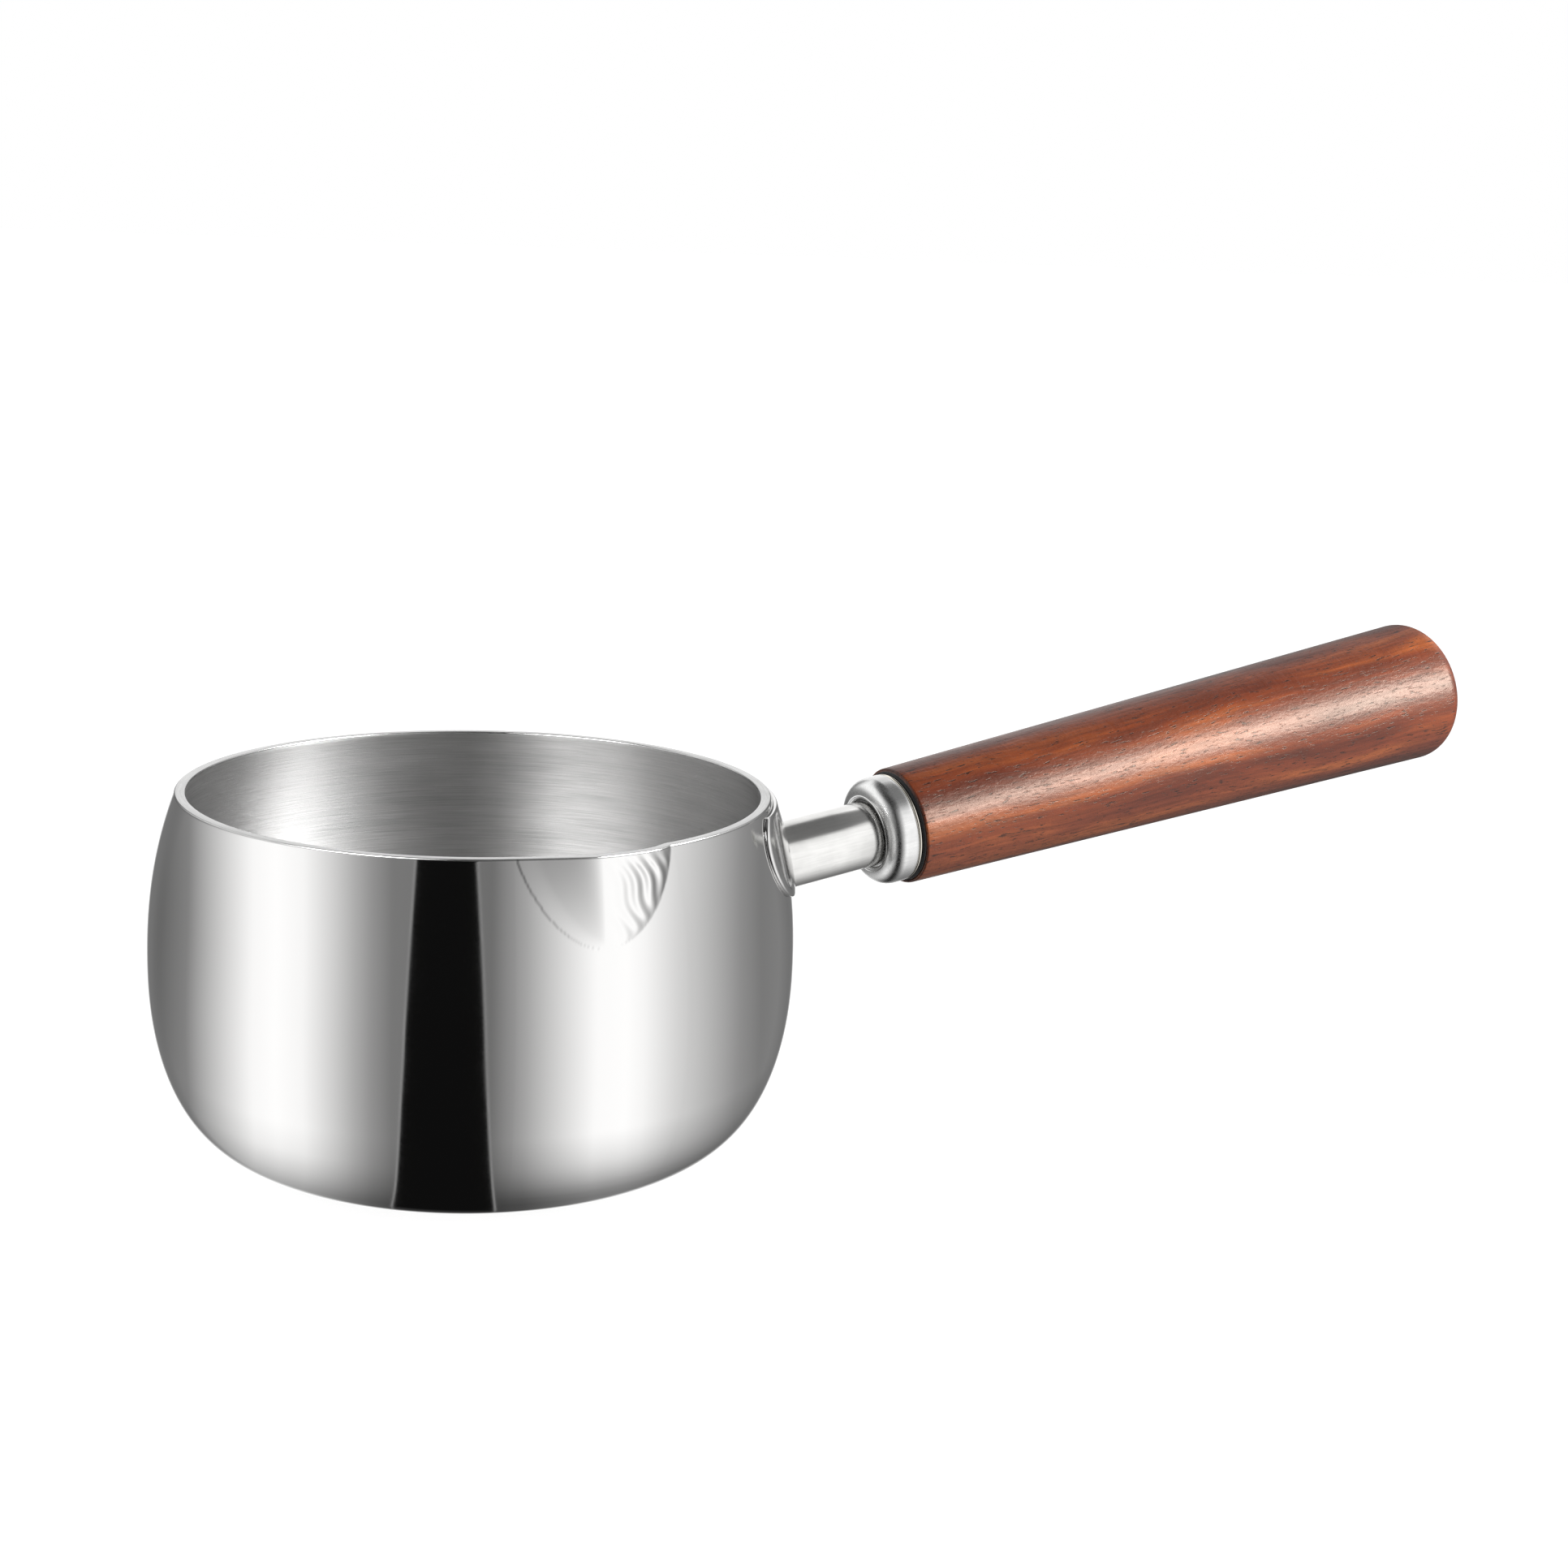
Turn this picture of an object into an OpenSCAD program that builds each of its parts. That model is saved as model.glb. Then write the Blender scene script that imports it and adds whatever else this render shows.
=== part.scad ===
// Small round-bellied stainless steel pouring pot with a turned wooden handle.
// Frame: +Z up, origin at the centre of the flat underside, handle towards +X, spout near -Y.
// Everything on the handle lies along one axis, and its places are distances s along that axis.

/* [Pot] */
// Largest outside diameter of the belly
belly_d = 115; // [113:1:120]
// Outside diameter at the rim
rim_d = 104.7; // [102:0.1:106]
// Diameter of the flat underside
base_d = 71.8; // [60:0.2:84]
// Height of the rim above the underside
pot_h = 64.2; // [60:0.2:72]
// Height at which the belly is widest
belly_z = 33.8; // [30:0.2:38]
// Thickness of the steel
wall = 1.8; // [1.2:0.1:2.2]

/* [Spout] */
// Furthest reach of the spout's nose from the pot's centre line
spout_reach = 56.6; // [56.3:0.1:57.2]
// Outside radius of the ball shape that the spout is pressed to
spout_r = 26; // [24:0.5:28]
// Height at which the nose reaches furthest
spout_z = 54; // [53:0.2:56]
// Turn of the spout from square to the handle, away from the handle, in degrees
spout_turn = 2; // [0:0.5:5]

/* [Bracket] */
// Thickness of the welded plate
bracket_t = 0.8; // [0.6:0.1:1.4]
// Height of the plate's top edge
bracket_top = 63.2; // [62:0.1:63.6]
// Height of the lower edge of the plate's two wings
wing_low = 47.5; // [46:0.1:48.5]
// Sideways reach of each wing
wing_reach = 40.6; // [36:0.2:42]
// Radius of each wing's rounded end
wing_r = 8.5; // [8.2:0.1:9]
// Height of the plate's lowest point, under the stem
bracket_low = 35.4; // [34:0.1:36.5]

/* [Stem] */
// Rise of the handle axis, in degrees
handle_rise = 8; // [6:0.5:10]
// Height of the handle axis at the pot's centre line
axis_z = 36.5; // [36:0.1:37.5]
// Outside diameter of the stem tube
stem_d = 13; // [12:0.1:13]
// Thickness of the stem tube
stem_wall = 1.2; // [1:0.1:1.5]

/* [Ferrule] */
// Outside diameter of the steel cup
ferrule_d = 21.4; // [21:0.1:21.8]
// Length of the steel cup
ferrule_len = 5.7; // [5.5:0.1:7]
// Thickness of the heat gasket
gasket_t = 0.5; // [0.4:0.1:1.2]

/* [Grip] */
// Distance of the grip's front shoulder along the handle axis
grip_start = 90.8; // [88:0.1:95]
// Length of the grip behind its shoulder
grip_len = 140.2; // [110:0.2:160]
// Diameter of the grip at its shoulder
grip_front_d = 23.2; // [22.6:0.1:25]
// Diameter of the grip at its far end
grip_end_d = 30.6; // [28:0.1:32]
// Rounding of the far end's edge
grip_round = 4.5; // [2:0.5:5]

/* [Draw bolt] */
// Thread diameter of the bolt
bolt_d = 5; // [4:1:5]
// Depth of the recess that the bolt head sits in
recess_depth = 16; // [12:1:20]

/* [Hidden] */

$fn = 96;
gap = 0.02;             // radial clearance where one round piece sits in another
over = 1;               // how far a cutting shape runs past what it cuts

steel = "silver";
polished = "gainsboro";
wood = "sienna";

belly_r = belly_d / 2;
rim_r = rim_d / 2;
base_r = base_d / 2;

// The belly's outline is two power curves that meet upright at belly_z.
side_power = 2.25;      // above the belly
foot_power = 2.61;      // below it, outwards
drop_power = 2.12;      // below it, downwards
side_steps = 12;
foot_steps = 16;

function side_point(z) =
    [rim_r + (belly_r - rim_r) * (1 - pow((z - belly_z) / (pot_h - belly_z), side_power)), z];
function foot_point(a) =
    [base_r + (belly_r - base_r) * pow(sin(a), 2 / foot_power),
     belly_z * (1 - pow(cos(a), 2 / drop_power))];

outline = concat(
    [for (i = [0:foot_steps]) foot_point(90 * i / foot_steps)],
    [for (i = [1:side_steps]) side_point(belly_z + (pot_h - belly_z) * i / side_steps)]);
last = len(outline) - 1;

// Direction into the steel at one point of the outline, square to its two neighbours.
function inward(i) =
    let (d = i == 0 ? [1, 0] : outline[min(i + 1, last)] - outline[i - 1])
    [-d[1], d[0]] / norm(d);
inner_outline = [for (i = [0:last]) outline[i] + wall * inward(i)];
rim_run = inner_outline[last] - inner_outline[last - 1];
inner_top = inner_outline[last] + rim_run * (pot_h + over - inner_outline[last][1]) / rim_run[1];

// Bracket outline: two wings, and a bell between them that hangs down round the stem.
wing_y = wing_reach - wing_r;
wing_z = wing_low + wing_r;
bell_half = 19;
bell_steps = 20;
bell = [for (i = [0:bell_steps])
            let (share = 2 * i / bell_steps - 1)
            [bell_half * share, wing_low - (wing_low - bracket_low) * (1 + cos(180 * share)) / 2]];

// Distances along the handle axis.
stem_r = stem_d / 2;
stem_bore_r = stem_r - stem_wall;
stem_from = rim_r - 10; // inside the pot, where the plate cuts the tube off
stem_in_grip = 14;
stem_end = grip_start + stem_in_grip;
plug_len = 12;
plug_start = stem_end - plug_len;
washer_t = 0.8;
washer_start = grip_start - gasket_t - washer_t;
ferrule_start = washer_start - ferrule_len;
ferrule_r = ferrule_d / 2;
ferrule_wall = 1;
shoulder_r = 3.1;       // outer rounding of the cup's front
lip_r = 0.8;            // rounding into the stem hole
washer_r = ferrule_r - 0.05;
gasket_front_r = ferrule_r + 0.1;
crest_r = ferrule_r - shoulder_r;
ferrule_back = ferrule_start + shoulder_r;

grip_end = grip_start + grip_len;
grip_front_r = grip_front_d / 2;
grip_taper = atan((grip_end_d - grip_front_d) / 2 / grip_len);
round_s = grip_end - grip_round;
round_x = grip_front_r + (round_s - grip_start) * tan(grip_taper) - grip_round / cos(grip_taper);
spigot_r = ferrule_r - ferrule_wall - gap;

bolt_r = bolt_d / 2;
bolt_clearance = 0.25;
bolt_start = plug_start + 1;
recess_r = bolt_d + 0.6;
recess_floor = grip_end - recess_depth;
flat_t = 1;
flat_clearance = 0.15;
spring_t = 1.2;
spring_r = bolt_d * 0.9;
spring_split = 0.8;
head_r = bolt_d * 0.95;
head_h = bolt_d * 0.66;
head_seat = recess_floor + flat_t + spring_t;
cross_l = head_r * 1.2;
cross_w = bolt_d * 0.22;
cross_depth = head_h * 0.55;

// Solid of revolution under the pot's outline, made thicker by grow on the radius.
module belly(grow = 0) {
    rotate_extrude()
        polygon(concat([[0, 0]], [for (p = outline) [p[0] + grow, p[1]]], [[0, pot_h]]));
}

module bowl_space() {
    rotate_extrude()
        polygon(concat([[0, wall]], inner_outline, [inner_top], [[0, inner_top[1]]]));
}

// Ball that bulges through the upper wall and makes the spout. It's smaller by inset.
module spout_ball(inset = 0) {
    rotate([0, 0, -spout_turn])
        translate([0, spout_r - spout_reach, spout_z])
            sphere(r = spout_r - inset);
}

// Turns a piece drawn along +Z, at its distance s, onto the handle axis.
module on_handle(s = 0) {
    translate([0, 0, axis_z])
        rotate([0, 90 - handle_rise, 0])
            translate([0, 0, s])
                children();
}

module tube(outer, inner, h) {
    difference() {
        cylinder(r = outer, h = h);
        translate([0, 0, -over])
            cylinder(r = inner, h = h + 2 * over);
    }
}

module pot_body() {
    color(polished)
        difference() {
            union() {
                belly();
                difference() {
                    spout_ball();
                    translate([-belly_r, -belly_d, pot_h])
                        cube(belly_d);
                }
            }
            bowl_space();
            spout_ball(wall);
        }
}

// Plate outline seen from the handle: sideways by height.
module bracket_outline() {
    intersection() {
        union() {
            for (side = [-1, 1])
                translate([side * wing_y, wing_z])
                    circle(r = wing_r);
            translate([-wing_y, wing_low])
                square([2 * wing_y, 2 * wing_r]);
            polygon(concat(bell, [[bell_half, wing_z], [-bell_half, wing_z]]));
        }
        translate([-belly_r, 0])
            square([belly_d, bracket_top]);
    }
}

module handle_bracket() {
    color(steel)
        difference() {
            intersection() {
                rotate([90, 0, 90])
                    linear_extrude(belly_d)
                        bracket_outline();
                belly(bracket_t);
            }
            belly();
        }
}

module stem_tube() {
    color(polished)
        difference() {
            on_handle(stem_from)
                tube(stem_r, stem_bore_r, stem_end - stem_from);
            belly(bracket_t);
        }
}

module stem_plug() {
    color(steel)
        on_handle(plug_start)
            tube(stem_bore_r - gap, bolt_r + gap, plug_len);
}

// Cup that hides the joint, with a rounded front and a rolled-in hole for the stem.
module ferrule_cup() {
    color(polished)
        on_handle()
            rotate_extrude()
                difference() {
                    union() {
                        translate([crest_r, ferrule_back])
                            circle(r = shoulder_r);
                        translate([crest_r, ferrule_start + lip_r])
                            circle(r = lip_r);
                        translate([crest_r - lip_r, ferrule_start + lip_r])
                            square([lip_r + shoulder_r, shoulder_r - lip_r]);
                        translate([crest_r, ferrule_back])
                            square([shoulder_r, washer_start - ferrule_back]);
                    }
                    translate([0, ferrule_back])
                        square([ferrule_r - ferrule_wall, ferrule_len]);
                }
}

module ferrule_washer() {
    color(steel)
        on_handle(washer_start)
            tube(washer_r, spigot_r + gap, washer_t);
}

module heat_gasket() {
    color("black")
        on_handle(grip_start - gasket_t)
            difference() {
                cylinder(r1 = gasket_front_r, r2 = grip_front_r, h = gasket_t);
                translate([0, 0, -over])
                    cylinder(r = spigot_r + gap, h = gasket_t + 2 * over);
            }
}

module grip() {
    color(wood)
        on_handle()
            rotate_extrude()
                difference() {
                    union() {
                        translate([0, ferrule_back])
                            square([spigot_r, grip_start - ferrule_back]);
                        polygon([[0, grip_start], [grip_front_r, grip_start],
                                 [round_x + grip_round * cos(grip_taper),
                                  round_s - grip_round * sin(grip_taper)],
                                 [round_x, round_s], [round_x, grip_end], [0, grip_end]]);
                        translate([round_x, round_s])
                            circle(r = grip_round);
                    }
                    square([stem_r + gap, stem_end]);
                    square([bolt_r + bolt_clearance, grip_end]);
                    translate([0, recess_floor])
                        square([recess_r, recess_depth + over]);
                }
}

module draw_bolt() {
    color("dimgray")
        on_handle() {
            translate([0, 0, bolt_start])
                cylinder(r = bolt_r, h = head_seat - bolt_start);
            translate([0, 0, head_seat])
                difference() {
                    cylinder(r = head_r, h = head_h);
                    for (turn = [0, 90])
                        rotate([0, 0, turn])
                            translate([-cross_l / 2, -cross_w / 2, head_h - cross_depth])
                                cube([cross_l, cross_w, cross_depth + over]);
                }
        }
}

module spring_washer() {
    color("gray")
        on_handle(recess_floor + flat_t)
            difference() {
                tube(spring_r, bolt_r + gap, spring_t);
                translate([0, -spring_split / 2, -over])
                    cube([spring_r + over, spring_split, spring_t + 2 * over]);
            }
}

module flat_washer() {
    color("lightgray")
        on_handle(recess_floor)
            tube(bolt_d, bolt_r + flat_clearance, flat_t);
}

pot_body();
handle_bracket();
stem_tube();
stem_plug();
ferrule_cup();
ferrule_washer();
heat_gasket();
grip();
draw_bolt();
spring_washer();
flat_washer();
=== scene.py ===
"""Looks of the small steel pouring pot with a wooden handle.

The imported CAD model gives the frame. The pieces that show are rebuilt here as fine meshes with rounded
edges, on the same sizes, and every piece and CAD node gets its own node material. Lengths in this script
are in millimetres until a mesh is made, and s is the distance along the handle's axis.
"""
import bpy
import math
import numpy as np
from mathutils import Matrix, Vector


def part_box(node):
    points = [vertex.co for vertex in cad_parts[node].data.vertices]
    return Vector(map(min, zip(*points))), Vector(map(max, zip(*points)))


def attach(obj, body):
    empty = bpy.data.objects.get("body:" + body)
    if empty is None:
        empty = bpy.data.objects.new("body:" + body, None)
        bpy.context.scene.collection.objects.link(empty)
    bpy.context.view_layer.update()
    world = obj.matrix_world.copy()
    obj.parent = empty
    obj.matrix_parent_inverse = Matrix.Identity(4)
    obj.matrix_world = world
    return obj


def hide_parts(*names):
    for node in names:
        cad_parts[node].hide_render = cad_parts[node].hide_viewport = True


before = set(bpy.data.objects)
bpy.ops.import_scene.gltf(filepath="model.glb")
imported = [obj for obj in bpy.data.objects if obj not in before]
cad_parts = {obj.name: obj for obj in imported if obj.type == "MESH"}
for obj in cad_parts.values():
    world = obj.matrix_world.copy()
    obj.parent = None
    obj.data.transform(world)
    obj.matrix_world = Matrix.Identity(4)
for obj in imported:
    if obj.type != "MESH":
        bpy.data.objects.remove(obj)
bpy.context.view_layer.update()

MM = 0.001
BODY = "root"

# ---------------------------------------------------------------- sizes

def box_mm(node):
    """Lowest and highest corner of a CAD node, in millimetres."""
    low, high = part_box(node)
    return low / MM, high / MM


pot_high = box_mm("pot_body")[1]
BELLY_R = pot_high.x
POT_H = pot_high.z
RIM_R = 52.35
BASE_R = 35.9                   # edge of the flat underside
BELLY_Z = 33.8                  # height of the widest part
WALL = 1.8
SIDE_POWER = 2.25               # of the curve from the belly to the rim
FOOT_POWER, DROP_POWER = 2.61, 2.12     # of the curve from the underside to the belly
RIM_ROUND = 0.3

NOSE_AZIMUTH = -92.0            # where the spout's nose points, in degrees from +X
SPOUT_HALF = 14.9               # angle that each of its two sides takes up at the rim, in degrees
SPOUT_BULGE = 0.037             # how far the nose stands out at the rim, as a share of the radius
SPOUT_DEEP = 14.6               # depth of the spout below the rim
NOSE_SOFT = 0.16                # rounding of the nose, as a share of each side's angle
SPOUT_ROUND = 5.0               # how sharply the side towards the handle curves back to the wall
PRESS_MARK = 0.0040             # height of the press marks on that side, as a share of the radius
CREASE = 0.16                   # how softly the spout runs into the wall

BRACKET_T = 0.8
bracket_low, bracket_high = box_mm("handle_bracket")
BRACKET_LOW, BRACKET_TOP, WING_REACH = bracket_low.z, bracket_high.z, bracket_high.y
WING_LOW, WING_R = 47.5, 8.5    # lower edge and end radius of the two wings
BELL_HALF = 19.0                # half width of the bell under the stem, where it meets the wings

RISE = math.radians(8.0)        # of the handle's axis
AXIS_Z = 36.5                   # height of that axis at the pot's centre line
FIT = 0.02                      # play between a bore and what sits in it
STEM_R, STEM_WALL = 6.5, 1.2
GRIP_START, GRIP_LEN = 90.8, 140.2
GRIP_END = GRIP_START + GRIP_LEN
GRIP_FRONT_R, GRIP_END_R, GRIP_ROUND = 11.6, 15.3, 4.5
STEM_END = GRIP_START + 14
FERRULE_R, FERRULE_WALL, FERRULE_LEN = 10.7, 1.0, 5.7
SHOULDER_R, LIP_R = 3.1, 0.8    # roundings of the ferrule's front, outside and at the stem's hole
WASHER_T, GASKET_T = 0.8, 0.5
WASHER_START = GRIP_START - GASKET_T - WASHER_T
FERRULE_START = WASHER_START - FERRULE_LEN
SPIGOT_R = FERRULE_R - FERRULE_WALL - FIT
RECESS_R, RECESS_DEPTH = 5.6, 16.0
BOLT_R = 2.5

HANDLE = Matrix.Translation((0, 0, AXIS_Z * MM)) @ Matrix.Rotation(math.pi / 2 - RISE, 4, "Y")


# ---------------------------------------------------------------- camera

CAMERA_HEADING = -113.92        # direction of the camera from the pot, in degrees from +X


def aim_camera():
    """Camera at the photograph's distance, angle, tilt and focal length."""
    around, above = math.radians(CAMERA_HEADING), math.radians(16.20)
    turn, down, roll = math.radians(-31.18), math.radians(12.32), math.radians(2.18)
    distance, aim_z = 450, 35
    flat = math.cos(above)
    outward = Vector((math.cos(around) * flat, math.sin(around) * flat, math.sin(above)))
    place = outward * distance + Vector((0, 0, aim_z))
    back = Vector((math.sin(turn) * math.cos(down), -math.cos(turn) * math.cos(down), math.sin(down)))
    level = Vector((math.cos(turn), math.sin(turn), 0))
    upright = back.cross(level)
    right = level * math.cos(roll) + upright * math.sin(roll)
    up = upright * math.cos(roll) - level * math.sin(roll)
    data = bpy.data.cameras.new("camera")
    data.sensor_width, data.lens = 36, 56.64
    camera = bpy.data.objects.new("camera", data)
    camera.matrix_world = Matrix.Translation(place * MM) @ Matrix((right, up, back)).transposed().to_4x4()
    bpy.context.scene.collection.objects.link(camera)
    bpy.context.scene.camera = camera


# ---------------------------------------------------------------- node helper

class Shader:
    """Adds and wires the nodes of one material or world."""

    def __init__(self, owner):
        owner.use_nodes = True
        self.tree = owner.node_tree
        self.tree.nodes.clear()

    def add(self, kind, inputs=None, **settings):
        node = self.tree.nodes.new(kind)
        for name, value in settings.items():
            setattr(node, name, value)
        for name, value in (inputs or {}).items():
            self.put(node.inputs[name], value)
        return node

    def put(self, socket, value):
        if isinstance(value, bpy.types.NodeSocket):
            self.tree.links.new(value, socket)
        else:
            socket.default_value = value

    def math(self, operation, a, b=0.0, c=0.0, clamp=False):
        node = self.add("ShaderNodeMath", operation=operation, use_clamp=clamp)
        for socket, value in zip(node.inputs, (a, b, c)):
            self.put(socket, value)
        return node.outputs[0]

    def ramp(self, value, stops):
        """Colour ramp. Each stop is (place, grey or colour)."""
        node = self.add("ShaderNodeValToRGB", {"Fac": value})
        points = node.color_ramp.elements
        while len(points) < len(stops):
            points.new(0.5)
        for point, (place, colour) in zip(points, stops):
            point.position = place
            point.color = (colour,) * 3 + (1,) if isinstance(colour, float) else (*colour, 1)
        return node.outputs["Color"]

    def mix(self, share, a, b, blend="MIX"):
        node = self.add("ShaderNodeMix", data_type="RGBA", blend_type=blend)
        factor, first, second = node.inputs[0], node.inputs[6], node.inputs[7]
        self.put(factor, share)
        for socket, value in ((first, a), (second, b)):
            self.put(socket, value if isinstance(value, bpy.types.NodeSocket) else (*value, 1))
        return node.outputs[2]

    def noise(self, place, scale=1.0, detail=3.0, rough=0.5, warp=0.0):
        return self.add("ShaderNodeTexNoise", {"Vector": place, "Scale": scale, "Detail": detail,
                                               "Roughness": rough, "Distortion": warp}).outputs["Fac"]

    def blend(self, a, b, share):
        """Two values weighted together, share of a and the rest of b."""
        return self.math("ADD", self.math("MULTIPLY", a, share), self.math("MULTIPLY", b, 1 - share))

    def scaled(self, place, factors):
        return self.add("ShaderNodeVectorMath", {0: place, 1: factors}, operation="MULTIPLY").outputs[0]

    def combine(self, x, y, z):
        return self.add("ShaderNodeCombineXYZ", {"X": x, "Y": y, "Z": z}).outputs[0]

    def split(self, place):
        return self.add("ShaderNodeSeparateXYZ", {0: place}).outputs

    def object_place(self):
        return self.add("ShaderNodeTexCoord").outputs["Object"]

    def handle_place(self):
        """Object coordinates turned so that Z runs along the handle's axis."""
        moved = self.add("ShaderNodeVectorMath", {0: self.object_place(), 1: (0, 0, AXIS_Z * MM)},
                         operation="SUBTRACT").outputs[0]
        return self.add("ShaderNodeVectorRotate", {"Vector": moved, "Angle": RISE - math.pi / 2},
                        rotation_type="Y_AXIS").outputs[0]

    def bump(self, height, strength, distance):
        return self.add("ShaderNodeBump", {"Height": height, "Strength": strength,
                                           "Distance": distance}).outputs["Normal"]

    def surface(self, shader):
        self.add("ShaderNodeOutputMaterial", {"Surface": shader})


def new_material(name):
    material = bpy.data.materials.new(name)
    return material, Shader(material)


def principled(nodes, **inputs):
    """Principled surface. Underscores in a name stand for spaces."""
    node = nodes.add("ShaderNodeBsdfPrincipled", {k.replace("_", " "): v for k, v in inputs.items()})
    nodes.surface(node.outputs["BSDF"])
    return node


# ---------------------------------------------------------------- materials

def around_axis(nodes, turns, along):
    """Texture place for marks that run round the local Z axis, with no seam.

    turns sets how fast the pattern changes round the axis, along how fast across the marks.
    """
    x, y, z = nodes.split(nodes.object_place())
    squares = nodes.math("ADD", nodes.math("MULTIPLY", x, x), nodes.math("MULTIPLY", y, y))
    radius = nodes.math("SQRT", squares)
    across = nodes.math("SUBTRACT", z, radius)
    return nodes.combine(nodes.math("MULTIPLY", nodes.math("DIVIDE", x, radius), turns),
                         nodes.math("MULTIPLY", nodes.math("DIVIDE", y, radius), turns),
                         nodes.math("MULTIPLY", across, along))


def mirror_steel():
    """Outside of the pot: mirror polish with a faint haze and hairlines round and round."""
    material, nodes = new_material("mirror_steel")
    haze = nodes.noise(nodes.object_place(), 90.0, 4.0, 0.6)
    hair = nodes.noise(around_axis(nodes, 3.0, 9000.0), 1.0, 2.0, 0.6)
    rough = nodes.ramp(nodes.blend(haze, hair, 0.6), [(0.3, 0.035), (0.7, 0.075)])
    principled(nodes, Base_Color=(0.72, 0.715, 0.71, 1), Metallic=1.0, Roughness=rough,
               Normal=nodes.bump(hair, 0.02, 0.0001))
    return material


def brushed_steel(name, tone, roughness, turns, along, depth, anisotropy):
    """Steel brushed round the local Z axis, in uneven strokes."""
    material, nodes = new_material(name)
    strokes = nodes.noise(around_axis(nodes, turns, along), 1.0, 4.0, 0.65)
    patches = nodes.noise(around_axis(nodes, turns * 0.6, along * 0.08), 1.0, 3.0, 0.5)
    both = nodes.blend(strokes, patches, 0.6)
    shade = nodes.ramp(both, [(0.3, tuple(0.70 * t for t in tone)), (0.7, tone)])
    rough = nodes.ramp(both, [(0.3, roughness * 1.25), (0.7, roughness * 0.8)])
    node = principled(nodes, Base_Color=shade, Metallic=1.0, Roughness=rough, Anisotropic=anisotropy,
                      Normal=nodes.bump(strokes, depth, 0.0001))
    quarter_turn = 0.25
    node.inputs["Anisotropic Rotation"].default_value = quarter_turn
    tangent = nodes.add("ShaderNodeTangent", direction_type="RADIAL", axis="Z").outputs[0]
    nodes.put(node.inputs["Tangent"], tangent)
    return material


def satin_steel(name, tone, roughness, depth):
    """Turned or drawn steel, polished along the handle's axis, with small pits."""
    material, nodes = new_material(name)
    place = nodes.handle_place()
    lines = nodes.noise(nodes.scaled(place, (2600.0, 2600.0, 120.0)), 1.0, 3.0, 0.6)
    cloud = nodes.noise(place, 260.0, 4.0, 0.6)
    both = nodes.blend(lines, cloud, 0.5)
    shade = nodes.ramp(both, [(0.3, tuple(0.86 * t for t in tone)), (0.7, tone)])
    rough = nodes.ramp(both, [(0.3, roughness * 1.3), (0.7, roughness * 0.75)])
    principled(nodes, Base_Color=shade, Metallic=1.0, Roughness=rough,
               Normal=nodes.bump(both, depth, 0.0002))
    return material


def black_rubber():
    material, nodes = new_material("black_rubber")
    grain = nodes.noise(nodes.object_place(), 2500.0, 3.0, 0.6)
    shade = nodes.ramp(grain, [(0.3, (0.010, 0.010, 0.011)), (0.7, (0.024, 0.024, 0.026))])
    rough = nodes.ramp(grain, [(0.3, 0.55), (0.7, 0.75)])
    principled(nodes, Base_Color=shade, Roughness=rough, Normal=nodes.bump(grain, 0.3, 0.0002))
    return material


def lacquered_wood():
    """Red-brown hardwood, its grain along the handle's axis, under a satin lacquer."""
    material, nodes = new_material("lacquered_wood")
    place = nodes.handle_place()
    bend = nodes.add("ShaderNodeTexNoise", {"Vector": place, "Scale": 22.0, "Detail": 2.0}).outputs["Color"]
    bent = nodes.add("ShaderNodeVectorMath", {0: bend, 1: (0.006, 0.006, 0.0), 2: place},
                     operation="MULTIPLY_ADD").outputs[0]
    figure = nodes.noise(nodes.scaled(bent, (150.0, 150.0, 11.0)), 1.0, 5.0, 0.55, 0.4)
    fibre = nodes.noise(nodes.scaled(bent, (1500.0, 1500.0, 70.0)), 1.0, 3.0, 0.6)
    pores = nodes.noise(nodes.scaled(bent, (2600.0, 2600.0, 420.0)), 1.0, 2.0, 0.5)
    curl = nodes.noise(nodes.scaled(bent, (90.0, 90.0, 420.0)), 1.0, 3.0, 0.55, 0.8)
    ripple = nodes.noise(nodes.scaled(bent, (1100.0, 1100.0, 520.0)), 1.0, 3.0, 0.6, 0.6)
    tone = nodes.ramp(figure, [(0.25, (0.030, 0.0063, 0.0030)), (0.40, (0.066, 0.0137, 0.0053)),
                               (0.52, (0.105, 0.0237, 0.0075)), (0.66, (0.190, 0.0535, 0.0140)),
                               (0.78, (0.080, 0.0180, 0.0062))])
    fine = nodes.ramp(fibre, [(0.3, 0.70), (0.7, 1.2)])
    pitted = nodes.ramp(pores, [(0.61, 1.0), (0.68, 0.25)])
    colour = nodes.mix(1.0, nodes.mix(1.0, tone, fine, "MULTIPLY"), pitted, "MULTIPLY")
    relief = nodes.math("ADD", nodes.math("MULTIPLY", fibre, 0.35), pitted)
    relief = nodes.math("MULTIPLY_ADD", curl, 1.2, relief)
    relief = nodes.math("MULTIPLY_ADD", ripple, 1.3, relief)
    rough = nodes.ramp(fibre, [(0.3, 0.46), (0.7, 0.34)])
    principled(nodes, Base_Color=colour, Roughness=rough, Specular_IOR_Level=0.30, Coat_Weight=0.13,
               Coat_Roughness=0.30, Normal=nodes.bump(relief, 0.35, 0.0002))
    return material


# ---------------------------------------------------------------- mesh helpers

def make_piece(name, points, faces, materials, replaced, on_handle=False):
    """Mesh object from points in millimetres, riding on the part's one body.

    The points of a piece on the handle have Z along the handle's axis.
    """
    mesh = bpy.data.meshes.new(name)
    mesh.from_pydata([tuple(c * MM for c in p) for p in points], [], faces)
    if on_handle:
        mesh.transform(HANDLE)
    for material in materials:
        mesh.materials.append(material)
    piece = bpy.data.objects.new(name, mesh)
    bpy.context.scene.collection.objects.link(piece)
    mesh.polygons.foreach_set("use_smooth", [True] * len(mesh.polygons))
    mesh.update()
    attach(piece, BODY)
    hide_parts(replaced)
    return piece


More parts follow.
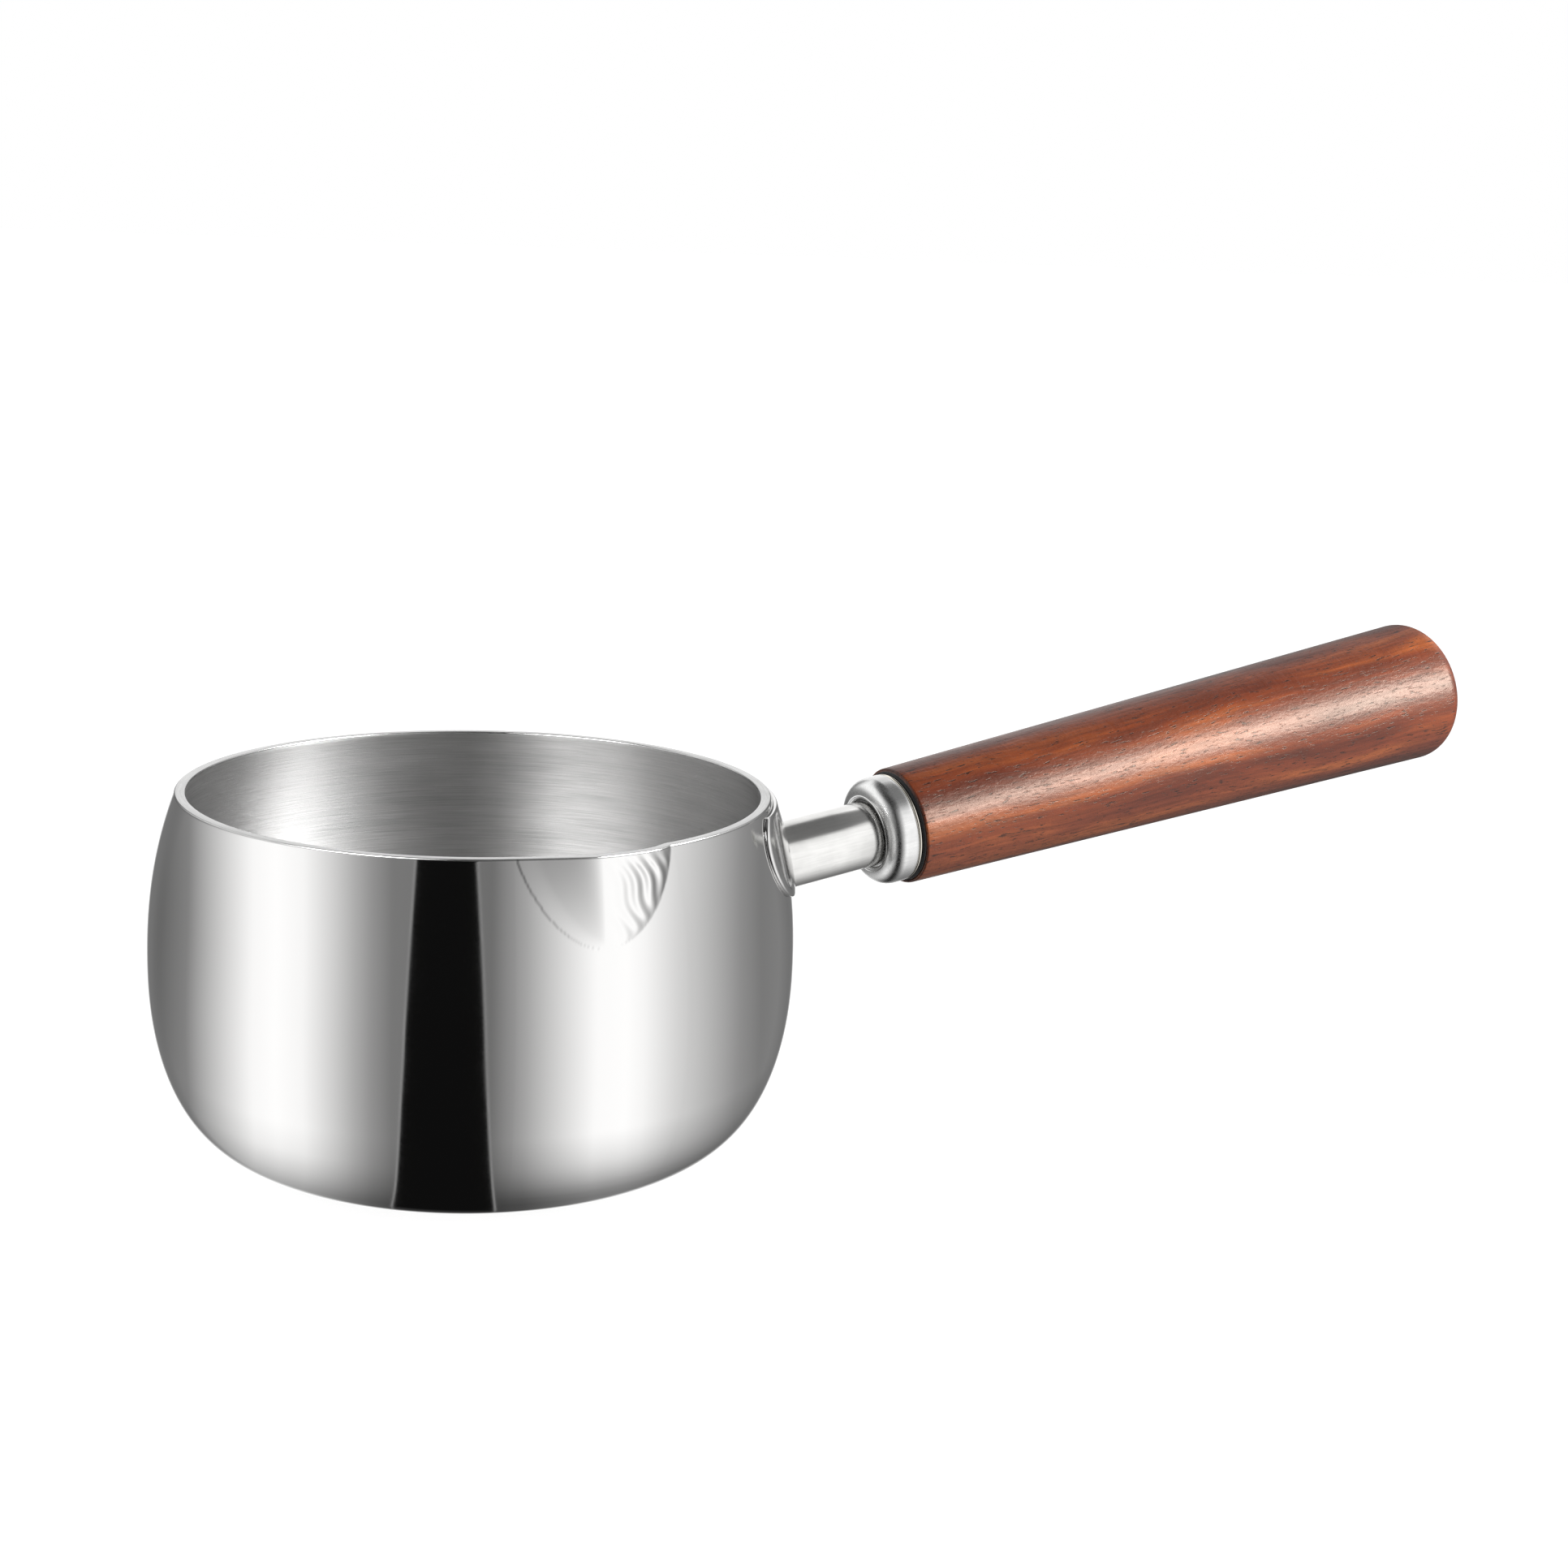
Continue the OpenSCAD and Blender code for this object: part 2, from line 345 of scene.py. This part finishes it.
def grid_faces(rows, columns, closed_rows=False):
    """Quads between neighbouring rows of points, each row a closed ring.

    With closed_rows, the last row also joins the first.
    """
    faces = []
    for i in range(rows if closed_rows else rows - 1):
        here, there = i * columns, (i + 1) % rows * columns
        for j in range(columns):
            k = (j + 1) % columns
            faces.append((here + j, here + k, there + k, there + j))
    return faces


def arc(centre, radius, start, end, steps):
    """Points on an arc in a profile, from start to end in degrees."""
    return [(centre[0] + radius * math.cos(math.radians(a)), centre[1] + radius * math.sin(math.radians(a)))
            for a in np.linspace(start, end, steps + 1)]


def lathe(name, profile, material, replaced, segments=128):
    """Solid turned about the handle's axis. profile is a closed outline of (radius, s) points."""
    points = [(r * math.cos(a), r * math.sin(a), s) for r, s in profile
              for a in np.linspace(0, 2 * math.pi, segments, endpoint=False)]
    faces = grid_faces(len(profile), segments, closed_rows=True)
    return make_piece(name, points, faces, [material], replaced, on_handle=True)


# ---------------------------------------------------------------- pot

def side_radius(z):
    """Outside radius of the wall above the belly."""
    return RIM_R + (BELLY_R - RIM_R) * (1 - ((z - BELLY_Z) / (POT_H - BELLY_Z)) ** SIDE_POWER)


def foot_point(angle):
    """Outline point below the belly, from the flat base at 0 degrees to the belly at 90."""
    a = math.radians(angle)
    return (BASE_R + (BELLY_R - BASE_R) * math.sin(a) ** (2 / FOOT_POWER),
            BELLY_Z * (1 - max(math.cos(a), 0.0) ** (2 / DROP_POWER)))


def wall_radius(z):
    """Outside radius of the pot's wall at a height at or above the belly."""
    return side_radius(z) if z > BELLY_Z else BELLY_R


def pot_outline(step):
    """Outside outline from the edge of the flat base to just under the rim's rounding.

    step is the spacing of its points at the spout.
    """
    wide_step, spout_from, top = 1.2, 47.0, POT_H - RIM_ROUND
    foot = [foot_point(a) for a in np.linspace(0, 90, 37)]
    heights = [*np.arange(BELLY_Z + wide_step, spout_from, wide_step)]
    heights += [*np.arange(spout_from, top, step), top]
    return foot + [(side_radius(z), z) for z in heights]


def inset_outline(outline, depth):
    """The same outline moved square into the steel."""
    points = np.array(outline)
    run = np.gradient(points, axis=0)
    run[0] = (1, 0)
    square_in = np.stack([-run[:, 1], run[:, 0]], 1) / np.linalg.norm(run, axis=1)[:, None]
    return points + depth * square_in


def inner_outline(step):
    """Inside outline from the edge of the floor to just under the rim's rounding."""
    top = POT_H - RIM_ROUND
    points = [tuple(p) for p in inset_outline(pot_outline(step), WALL) if p[1] <= top]
    (below_r, below_z), (last_r, last_z) = points[-2:]
    slope = (last_r - below_r) / (last_z - below_z)
    return points + [(last_r + slope * (top - last_z), top)]


def press_marks(beside, across, z):
    """Waves across the spout's curved side, from -1 to 1. They fade towards its edges and the rim."""
    to_one, rim_fade = 27 / 4, 2.0      # across ** 2 * (1 - across) is 4 / 27 at its highest
    strength = to_one * across ** 2 * (1 - across) * min((POT_H - z) / rim_fade, 1)
    waves, slant = 120, 0.9
    wobble = 1.4 * math.sin(0.7 * z)
    return strength * math.sin(waves * beside + slant * z + wobble)


def spout_factor(azimuth, z):
    """How much further out the spout is than the wall, or 0 where it isn't.

    At each height the spout has a blunt nose, a flat side away from the handle and a side towards the
    handle that curves back to the wall, with press marks across it. All fade away towards the
    spout's lower end.
    """
    tip_power = 1.2
    beside = azimuth - math.radians(NOSE_AZIMUTH)
    size = 1 - ((POT_H - z) / SPOUT_DEEP) ** tip_power
    half = math.radians(SPOUT_HALF) * math.sqrt(max(size, 0.0))
    if abs(beside) >= half:
        return 0.0
    nose = 1 + SPOUT_BULGE * size
    turn = math.hypot(min(beside, 0.0), NOSE_SOFT * half)
    flat_side = nose * math.sin(half) / (nose * math.sin(turn) + math.sin(half - turn))
    across = max(beside, 0.0) / half
    marks = PRESS_MARK * size * press_marks(beside, across, z)
    return 1 + (flat_side - 1) * (1 - across ** SPOUT_ROUND) + marks


def soft_max(a, b, width):
    """The larger of two lengths, run together over width."""
    share = min(max(0.5 + 0.5 * (a - b) / width, 0.0), 1.0)
    return b + (a - b) * share + width * share * (1 - share)


def pot_azimuths():
    """Directions of the points on a ring of the pot, in radians. They lie closest together at the spout."""
    margin, close, wide = 0.6, 0.2, 1.8
    start, end = NOSE_AZIMUTH - SPOUT_HALF - margin, NOSE_AZIMUTH + SPOUT_HALF + margin
    return [math.radians(a) for a in [*np.arange(start, end, close), *np.arange(end, start + 360, wide)]]


def rim_rows(outer_ring, inner_ring):
    """Rings of the rounded rim, between the outside and the inside ring just under it."""
    outer, inner = np.array(outer_ring), np.array(inner_ring)
    outward = outer * (1, 1, 0) / np.linalg.norm(outer[:, :2], axis=1)[:, None]
    bends = [math.radians(a) for a in (22.5, 45, 67.5, 90)]
    shifts = [(RIM_ROUND * (1 - math.cos(a)), RIM_ROUND * math.sin(a)) for a in bends]
    rows = [outer - outward * back + (0, 0, up) for back, up in shifts]
    return rows + [inner + outward * back + (0, 0, up) for back, up in reversed(shifts)]


def build_pot():
    """Pot with its spout, as rings from the underside up the outside, over the rim and down the inside."""
    azimuths = pot_azimuths()

    def ring(radius, z):
        out = []
        for a in azimuths:
            r = radius
            if z > POT_H - SPOUT_DEEP:
                r = soft_max(radius, radius * spout_factor(a, z), CREASE)
            out.append((r * math.cos(a), r * math.sin(a), z))
        return out

    outer, inner = pot_outline(0.25), inner_outline(0.5)
    flat_shares = (0.004, 0.35, 0.7, 0.9, 0.98)
    rows = [ring(BASE_R * share, 0.0) for share in flat_shares]
    rows += [ring(r, z) for r, z in outer]
    rim_from = len(rows) - 1
    rows += rim_rows(rows[-1], ring(*inner[-1]))
    rim_to = len(rows)
    rows += [ring(r, z) for r, z in reversed(inner)]
    rows += [ring(inner[0][0] * share, WALL) for share in reversed(flat_shares)]

    columns = len(azimuths)
    points = [tuple(p) for row in rows for p in row]
    faces = grid_faces(len(rows), columns)
    faces.append(tuple(reversed(range(columns))))
    faces.append(tuple(range((len(rows) - 1) * columns, len(rows) * columns)))
    outside, rim, inside, base = range(4)
    finishes = [mirror_steel(),
                brushed_steel("brushed_rim", (0.50, 0.50, 0.495), 0.22, 9.0, 5200.0, 0.15, 0.4),
                brushed_steel("brushed_inside", (0.57, 0.567, 0.563), 0.50, 4.0, 3600.0, 0.5, 0.95),
                brushed_steel("brushed_base", (0.60, 0.60, 0.595), 0.26, 6.0, 2200.0, 0.25, 0.6)]
    pot = make_piece("pot_shell", points, faces, finishes, "pot_body")
    strip = np.arange(len(rows) - 1).repeat(columns)
    below = [strip < len(flat_shares), strip < rim_from, strip < rim_to]
    finish = np.select(below, [base, outside, rim], inside)
    pot.data.polygons.foreach_set("material_index", list(finish) + [base, inside])
    return pot


# ---------------------------------------------------------------- bracket

def bracket_edge():
    """Closed outline of the plate seen from the handle, as (sideways, height) points."""
    wing_y, wing_z = WING_REACH - WING_R, WING_LOW + WING_R
    depth = WING_LOW - BRACKET_LOW
    bell = [(BELL_HALF * t, WING_LOW - depth * (1 + math.cos(math.pi * t)) / 2)
            for t in np.linspace(-1, 1, 49)]
    low = [(y, WING_LOW) for y in np.linspace(BELL_HALF, wing_y, 9)]
    top_angle = math.degrees(math.asin((BRACKET_TOP - wing_z) / WING_R))
    right = arc((wing_y, wing_z), WING_R, -90, top_angle, 32)
    half_top = right[-1][0]
    top = [(half_top * t, BRACKET_TOP) for t in np.linspace(1, -1, 61)]
    left = [(-y, z) for y, z in reversed(right)]
    low_left = [(-y, z) for y, z in reversed(low)]
    return [p for run in (bell, low, right, top, left, low_left) for p in run[:-1]]


def build_bracket():
    """Thin plate on the pot's wall, with a rounded outer edge. Its rings of points shrink to a spine."""
    edge = np.array(bracket_edge())
    spine_share, spine_z, rounding = 0.72, 55.0, 0.2
    to_spine = np.stack([edge[:, 0] * spine_share, np.full(len(edge), spine_z)], 1) - edge
    reach = np.linalg.norm(to_spine, axis=1)[:, None]

    def on_wall(outline, lift):
        return [(math.sqrt((wall_radius(z) + lift) ** 2 - y * y), y, z) for y, z in outline]

    rows = [on_wall(edge, 0), on_wall(edge, BRACKET_T - rounding)]
    for turn in (math.radians(a) for a in (30, 60, 90)):
        inset = edge + to_spine * (rounding * (1 - math.cos(turn)) / reach)
        rows.append(on_wall(inset, BRACKET_T - rounding * (1 - math.sin(turn))))
    shares = (0.12, 0.3, 0.55, 0.8, 1.0)
    rows += [on_wall(edge + to_spine * share, BRACKET_T) for share in shares]
    seam = (len(rows) - 1) * len(edge)
    rows += [on_wall(edge + to_spine * share, 0) for share in reversed(shares)]
    points = [p for row in rows for p in row]
    faces = grid_faces(len(rows), len(edge), closed_rows=True)
    steel = satin_steel("bracket_steel", (0.70, 0.695, 0.69), 0.10, 0.02)
    plate = make_piece("bracket_plate", points, faces, [steel], "handle_bracket")
    for face in plate.data.polygons[seam:seam + len(edge)]:
        face.use_smooth = False


# ---------------------------------------------------------------- handle

def plate_distance(radius, angle):
    """Where a line beside the handle's axis meets the plate, as its distance s."""
    inside, outside = 40.0, 80.0
    offset = Vector((radius * math.cos(angle), radius * math.sin(angle), 0))
    for _ in range(40):
        s = (inside + outside) / 2
        place = HANDLE @ ((offset + Vector((0, 0, s))) * MM) / MM
        if math.hypot(place.x, place.y) < wall_radius(place.z) + BRACKET_T:
            inside = s
        else:
            outside = s
    return outside


def build_stem():
    """Steel tube with a smooth weld run where it leaves the plate."""
    segments, weld, chamfer = 128, 0.4, 0.3
    bore = STEM_R - STEM_WALL
    angles = np.linspace(0, 2 * math.pi, segments, endpoint=False)
    rows = []
    for turn in np.radians(np.linspace(90, 0, 7)):
        r = STEM_R + weld * (1 - math.cos(turn))
        lift = weld * (1 - math.sin(turn))
        rows.append([(r, a, plate_distance(r, a) + lift) for a in angles])
    for r, s in ((STEM_R, 66.0), (STEM_R, 75.0), (STEM_R, STEM_END - chamfer), (STEM_R - chamfer, STEM_END),
                 (bore, STEM_END)):
        rows.append([(r, a, s) for a in angles])
    rows.append([(bore, a, plate_distance(bore, a)) for a in angles])
    points = [(r * math.cos(a), r * math.sin(a), s) for row in rows for r, a, s in row]
    faces = grid_faces(len(rows), segments, closed_rows=True)
    steel = satin_steel("stem_steel", (0.74, 0.735, 0.72), 0.16, 0.03)
    make_piece("stem", points, faces, [steel], "stem_tube", on_handle=True)


def build_ferrule():
    """Cup with a rounded front that rolls into the stem hole, its washer and the black gasket."""
    crest, inside = FERRULE_R - SHOULDER_R, FERRULE_R - FERRULE_WALL
    back = FERRULE_START + SHOULDER_R
    edge = 0.35
    cup = arc((crest, FERRULE_START + LIP_R), LIP_R, 180, 270, 8)
    cup += arc((crest, back), SHOULDER_R, 270, 360, 20)
    cup += [(FERRULE_R, WASHER_START - 0.9)]
    cup += arc((FERRULE_R - edge, WASHER_START - edge), edge, 0, 90, 4)
    cup += [(inside, WASHER_START), (inside, back), (crest - LIP_R, back)]
    steel = satin_steel("ferrule_steel", (0.78, 0.78, 0.775), 0.27, 0.05)
    lathe("ferrule", cup, steel, "ferrule_cup")

    ring_r, bore = FERRULE_R - 0.05, SPIGOT_R + FIT
    half = WASHER_T / 2
    washer = [(bore, WASHER_START)]
    washer += arc((ring_r - half, WASHER_START + half), half, -90, 90, 8)
    washer += [(bore, WASHER_START + WASHER_T)]
    # The washer's warm tone is a painted reflection of the wood beside it, which the steel doesn't mirror.
    wood_tinted_steel = satin_steel("washer_steel", (0.78, 0.74, 0.66), 0.10, 0.01)
    lathe("trim_washer", washer, wood_tinted_steel, "ferrule_washer")

    front, gasket_r = GRIP_START - GASKET_T, FERRULE_R + 0.3
    soft, small = 0.2, 0.05
    gasket = [(bore, front), (ring_r, front), (gasket_r, front + soft), (gasket_r, GRIP_START - small),
              (gasket_r - small, GRIP_START), (bore, GRIP_START)]
    lathe("gasket", gasket, black_rubber(), "heat_gasket")


def build_grip():
    """Tapered wooden grip with a round far end, a screw recess and a spigot that fills the ferrule."""
    taper = math.atan((GRIP_END_R - GRIP_FRONT_R) / GRIP_LEN)
    tilt = math.degrees(taper)
    round_s = GRIP_END - GRIP_ROUND
    round_x = GRIP_FRONT_R + (round_s - GRIP_START) * math.tan(taper) - GRIP_ROUND / math.cos(taper)
    stem_hole, bolt_hole = STEM_R + FIT, BOLT_R + 0.25
    spigot_front = FERRULE_START + SHOULDER_R
    recess_floor = GRIP_END - RECESS_DEPTH
    edge, mouth, clear = 0.45, 0.5, 2
    outline = [(stem_hole, spigot_front), (SPIGOT_R, spigot_front), (SPIGOT_R, GRIP_START),
               (GRIP_FRONT_R - edge, GRIP_START)]
    outline += arc((GRIP_FRONT_R - edge, GRIP_START + edge), edge, -90, -tilt, 5)
    outline += [(GRIP_FRONT_R + (s - GRIP_START) * math.tan(taper), s)
                for s in np.linspace(GRIP_START + clear, round_s - clear, 24)]
    outline += arc((round_x, round_s), GRIP_ROUND, -tilt, 90, 14)
    outline += arc((RECESS_R + mouth, GRIP_END - mouth), mouth, 90, 180, 4)
    outline += [(RECESS_R, recess_floor), (bolt_hole, recess_floor)]
    outline += [(bolt_hole, STEM_END), (stem_hole, STEM_END)]
    return lathe("wood_grip", outline, lacquered_wood(), "grip", 160)


# ---------------------------------------------------------------- stage

def half_direction(nodes, along, side, up):
    """Place across the pot, and lean, of the half direction for a direction of the studio.

    A half direction is midway between a direction of the studio and the way to the camera, so a mirror
    that faces it shows that part of the studio. Place runs from -1 to 1 across a round pot, and lean is
    how far the half direction points up, in radians. Where it leans, places draw together, so that the
    edges of boxes and flag follow the pot's sides.
    """
    view_rise = math.radians(14)
    draw_below, draw_above, most_above = -0.288, -0.77, 0.6
    near = nodes.math("ADD", along, math.cos(view_rise))
    flat = nodes.math("SQRT", nodes.math("MULTIPLY_ADD", side, side, nodes.math("MULTIPLY", near, near)))
    lean = nodes.math("ARCTAN2", nodes.math("ADD", up, math.sin(view_rise)), flat)
    below = nodes.math("MINIMUM", lean, 0.0)
    above = nodes.math("MINIMUM", nodes.math("MAXIMUM", lean, 0.0), most_above)
    narrow = nodes.math("MULTIPLY_ADD", nodes.math("MULTIPLY", below, below), draw_below, 1.0)
    narrow = nodes.math("MULTIPLY_ADD", nodes.math("MULTIPLY", above, above), draw_above, narrow)
    return nodes.math("MULTIPLY", nodes.math("DIVIDE", side, flat), narrow), lean


def at(degrees):
    """Position on a ramp that runs from -90 to 90 degrees."""
    return degrees / 180 + 0.5


def soft_boxes(nodes, place, lean, up):
    """Light of the two tall soft boxes in front. It fades downwards, and overhead it's dim."""
    spots = [(-1.0, 0.10), (-0.95, 0.11), (-0.85, 0.21), (-0.65, 0.92), (-0.58, 0.98), (-0.50, 0.91),
             (-0.35, 0.41), (-0.30, 0.28), (-0.24, 0.18), (0.05, 0.15), (0.15, 0.36), (0.36, 0.95),
             (0.45, 0.98), (0.50, 0.91), (0.60, 0.65), (0.80, 0.26), (0.87, 0.18), (1.0, 0.20)]
    across = nodes.math("MULTIPLY_ADD", place, 0.5, 0.5)
    boxes = nodes.ramp(across, [(spot / 2 + 0.5, grey) for spot, grey in spots])
    tilt = nodes.math("MULTIPLY_ADD", lean, 1 / math.pi, 0.5)
    left_fade = nodes.ramp(tilt, [(at(-90), 0.28), (at(-49), 0.34), (at(-43), 0.42), (at(-37), 0.54),
                                  (at(-31), 0.69), (at(-25), 0.87), (at(-17), 1.0)])
    right_fade = nodes.ramp(tilt, [(at(-90), 0.15), (at(-49), 0.18), (at(-43), 0.23), (at(-37), 0.35),
                                   (at(-31), 0.54), (at(-25), 0.76), (at(-17), 1.0)])
    right_share = nodes.math("MULTIPLY_ADD", place, 4.0, 0.4, clamp=True)
    light = nodes.mix(1.0, boxes, nodes.mix(right_share, left_fade, right_fade), "MULTIPLY")
    rise = nodes.math("MULTIPLY_ADD", nodes.math("ARCSINE", up), 1 / math.pi, 0.5)
    overhead = nodes.ramp(rise, [(at(45), 1.0), (at(53), 0.2), (at(74), 0.2), (at(84), 0.75)])
    return nodes.mix(1.0, light, overhead, "MULTIPLY")


def black_flag(nodes, light, place, lean, along):
    """The light with the black flag before it, which has thin grey edges and ends beside the pot.

    The flag narrows upwards, so its half width at level is less than lower down.
    """
    middle, at_level, slope, bend = -0.0853, 0.1138, -0.0672, -0.0335
    half_width = nodes.math("MULTIPLY_ADD", nodes.math("MULTIPLY_ADD", lean, bend, slope), lean, at_level)
    off_middle = nodes.math("ABSOLUTE", nodes.math("SUBTRACT", place, middle))
    sharpness = 15.0
    spread = nodes.math("MULTIPLY_ADD", nodes.math("SUBTRACT", half_width, off_middle), sharpness, 0.5)
    edge = nodes.ramp(spread, [(0.38, 0.0), (0.42, 1.0), (0.46, 1.0), (0.50, 0.0)])
    flag = nodes.ramp(spread, [(0.48, 0.0), (0.52, 1.0)])
    reach = nodes.math("MULTIPLY_ADD", along, 4.0, 3.2, clamp=True)
    light = nodes.mix(nodes.math("MULTIPLY", edge, reach), light, (0.26, 0.26, 0.26))
    return nodes.mix(nodes.math("MULTIPLY", flag, reach), light, (0.004, 0.004, 0.004))


def studio_world():
    """Studio that the steel reflects: two tall soft boxes, with a black flag between them.

    Behind the pot there is one more soft box. The camera itself sees plain white.
    """
    world = bpy.data.worlds.new("studio")
    bpy.context.scene.world = world
    nodes = Shader(world)
    x, y, up = nodes.split(nodes.add("ShaderNodeTexCoord").outputs["Generated"])
    heading = math.radians(CAMERA_HEADING)
    ahead, across = math.cos(heading), math.sin(heading)
    along = nodes.math("ADD", nodes.math("MULTIPLY", x, ahead), nodes.math("MULTIPLY", y, across))
    side = nodes.math("SUBTRACT", nodes.math("MULTIPLY", y, ahead), nodes.math("MULTIPLY", x, across))
    place, lean = half_direction(nodes, along, side, up)

    light = soft_boxes(nodes, place, lean, up)
    rear_box = nodes.ramp(nodes.math("ABSOLUTE", side), [(0.18, 0.85), (0.30, 0.14)])
    behind = nodes.math("MULTIPLY_ADD", along, -7.0, -5.0, clamp=True)
    light = nodes.mix(behind, light, rear_box)
    light = black_flag(nodes, light, place, lean, along)

    ray = nodes.add("ShaderNodeLightPath").outputs["Is Camera Ray"]
    seen = nodes.add("ShaderNodeBackground", {"Color": (1, 1, 1, 1), "Strength": 1.0}).outputs[0]
    lit = nodes.add("ShaderNodeBackground", {"Color": light, "Strength": 1.42}).outputs[0]
    mixed = nodes.add("ShaderNodeMixShader", {0: ray, 1: lit, 2: seen}).outputs[0]
    nodes.add("ShaderNodeOutputWorld", {"Surface": mixed})


def build_floor():
    """Plain white floor with a faint shadow where the pot stands. From below, it isn't there."""
    material, nodes = new_material("pale_floor")
    glow = nodes.add("ShaderNodeEmission", {"Color": (1, 1, 1, 1), "Strength": 0.82}).outputs[0]
    pale = nodes.add("ShaderNodeBsdfDiffuse", {"Color": (0.60, 0.60, 0.60, 1)}).outputs[0]
    clear = nodes.add("ShaderNodeBsdfTransparent").outputs[0]
    below = nodes.add("ShaderNodeNewGeometry").outputs["Backfacing"]
    white = nodes.add("ShaderNodeAddShader", {0: glow, 1: pale}).outputs[0]
    nodes.surface(nodes.add("ShaderNodeMixShader", {0: below, 1: white, 2: clear}).outputs[0])
    half, drop = 30.0, 0.0001
    corners = [(-half, -half, 0), (half, -half, 0), (half, half, 0), (-half, half, 0)]
    mesh = bpy.data.meshes.new("floor")
    mesh.from_pydata(corners, [], [(0, 1, 2, 3)])
    mesh.materials.append(material)
    floor = bpy.data.objects.new("floor", mesh)
    floor.location.z = -drop
    floor.visible_glossy = False
    floor.visible_diffuse = False
    bpy.context.scene.collection.objects.link(floor)


def add_lamp(name, piece, target, towards, distance, size, energy, colour=(1, 1, 1)):
    """Soft lamp that lights one piece alone. towards points from the target to the lamp."""
    light = bpy.data.lights.new(name, "AREA")
    light.shape, light.energy, light.color = "RECTANGLE", energy, colour
    light.size, light.size_y = size
    lamp = bpy.data.objects.new(name, light)
    direction = Vector(towards).normalized()
    lamp.location = Vector(target) + distance * direction
    lamp.rotation_euler = direction.to_track_quat("Z", "Y").to_euler()
    bpy.context.scene.collection.objects.link(lamp)
    lit = bpy.data.collections.new("lit_by_" + name)
    lit.objects.link(piece)
    lamp.light_linking.receiver_collection = lit


def light_inside(pot):
    """Two soft lamps high up, one to the right and one to the left, which light the bowl's inside."""
    rise, bowl, distance, height = math.radians(50), (0, 0, 0.05), 0.8, 0.4
    for name, turn, width, energy in (("right_lamp", 95, 0.30, 15.5), ("left_lamp", -55, 0.55, 7.8)):
        azimuth = math.radians(CAMERA_HEADING + turn)
        towards = (math.cos(azimuth) * math.cos(rise), math.sin(azimuth) * math.cos(rise), math.sin(rise))
        add_lamp(name, pot, bowl, towards, distance, (width, height), energy)


def light_wood(grip):
    """Warm soft lamp to the right of the camera, which makes the highlight along the wood."""
    middle, towards, distance = (0.16, 0, 0.06), (0.559, -0.755, 0.342), 0.6
    size, energy, warm = (0.6, 0.2), 13.0, (1.0, 0.85, 0.72)
    add_lamp("wood_lamp", grip, middle, towards, distance, size, energy, warm)


# ---------------------------------------------------------------- assembly

aim_camera()
studio_world()
build_floor()

pot_shell = build_pot()
build_bracket()
build_stem()
build_ferrule()
wood_grip = build_grip()
wood_grip.visible_glossy = False        # the steel doesn't mirror the wood in the photograph
light_wood(wood_grip)
light_inside(pot_shell)

plated = satin_steel("plated_steel", (0.62, 0.62, 0.60), 0.22, 0.05)
for name in ("stem_plug", "draw_bolt", "spring_washer", "flat_washer"):
    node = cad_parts[name]
    node.data.materials.clear()
    node.data.materials.append(plated)

bpy.context.scene.view_settings.view_transform = "Standard"
